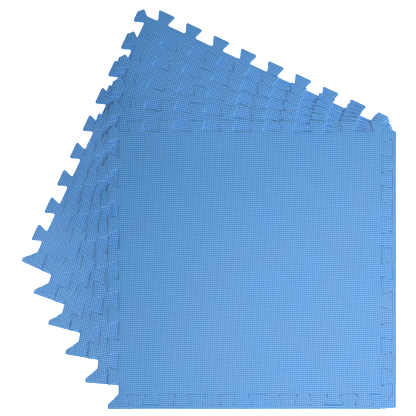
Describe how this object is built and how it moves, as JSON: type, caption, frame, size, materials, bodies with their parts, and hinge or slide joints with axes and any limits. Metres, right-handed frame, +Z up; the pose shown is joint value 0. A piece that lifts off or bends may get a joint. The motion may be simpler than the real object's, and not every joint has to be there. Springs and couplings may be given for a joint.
{
  "type": "blocking mats",
  "caption": "Square interlocking foam mats with removable border strips, stacked in a fan; a firm cushioned surface that knitting or lace is pinned out on to dry.",
  "frame": {"origin": "centre of the bounding box of the whole fan, on the surface that the bottom mat lies on", "axes": "+Z up, out of the top mat's upper face; +X and +Y along the top mat's sides, +X towards its side border and +Y away from its bottom border"},
  "size_m": [0.4216, 0.4474, 0.061],
  "materials": {
    "tile_foam": "blue closed-cell EVA foam with a fine cloth-grain emboss",
    "border_foam": "blue closed-cell EVA foam with a fine cloth-grain emboss"
  },
  "bodies": {
    "mat_2": {"mat_2_tile": "tile_foam", "mat_2_side_border": "border_foam", "mat_2_bottom_border": "border_foam"},
    "mat_3": {"mat_3_tile": "tile_foam", "mat_3_side_border": "border_foam", "mat_3_bottom_border": "border_foam"},
    "mat_4": {"mat_4_tile": "tile_foam", "mat_4_side_border": "border_foam", "mat_4_bottom_border": "border_foam"},
    "mat_5": {"mat_5_tile": "tile_foam", "mat_5_side_border": "border_foam", "mat_5_bottom_border": "border_foam"},
    "mat_6": {"mat_6_tile": "tile_foam", "mat_6_side_border": "border_foam", "mat_6_bottom_border": "border_foam"},
    "mat_1": {"mat_1_tile": "tile_foam"},
    "mat_1_side_border": {"mat_1_side_border": "border_foam"},
    "mat_1_bottom_border": {"mat_1_bottom_border": "border_foam"}
  },
  "joints": [
    {"name": "mat_5_lift", "type": "slide", "parent": "mat_6", "child": "mat_5", "axis": [0, 0, 1], "range_m": [0, 0.06]},
    {"name": "mat_4_lift", "type": "slide", "parent": "mat_5", "child": "mat_4", "axis": [0, 0, 1], "range_m": [0, 0.06]},
    {"name": "mat_3_lift", "type": "slide", "parent": "mat_4", "child": "mat_3", "axis": [0, 0, 1], "range_m": [0, 0.06]},
    {"name": "mat_2_lift", "type": "slide", "parent": "mat_3", "child": "mat_2", "axis": [0, 0, 1], "range_m": [0, 0.06]},
    {"name": "mat_1_lift", "type": "slide", "parent": "mat_2", "child": "mat_1", "axis": [0, 0, 1], "range_m": [0, 0.06]},
    {"name": "side_border_lift", "type": "slide", "parent": "mat_1", "child": "mat_1_side_border", "axis": [0, 0, 1], "range_m": [0, 0.02]},
    {"name": "bottom_border_lift", "type": "slide", "parent": "mat_1", "child": "mat_1_bottom_border", "axis": [0, 0, 1], "range_m": [0, 0.02]}
  ]
}
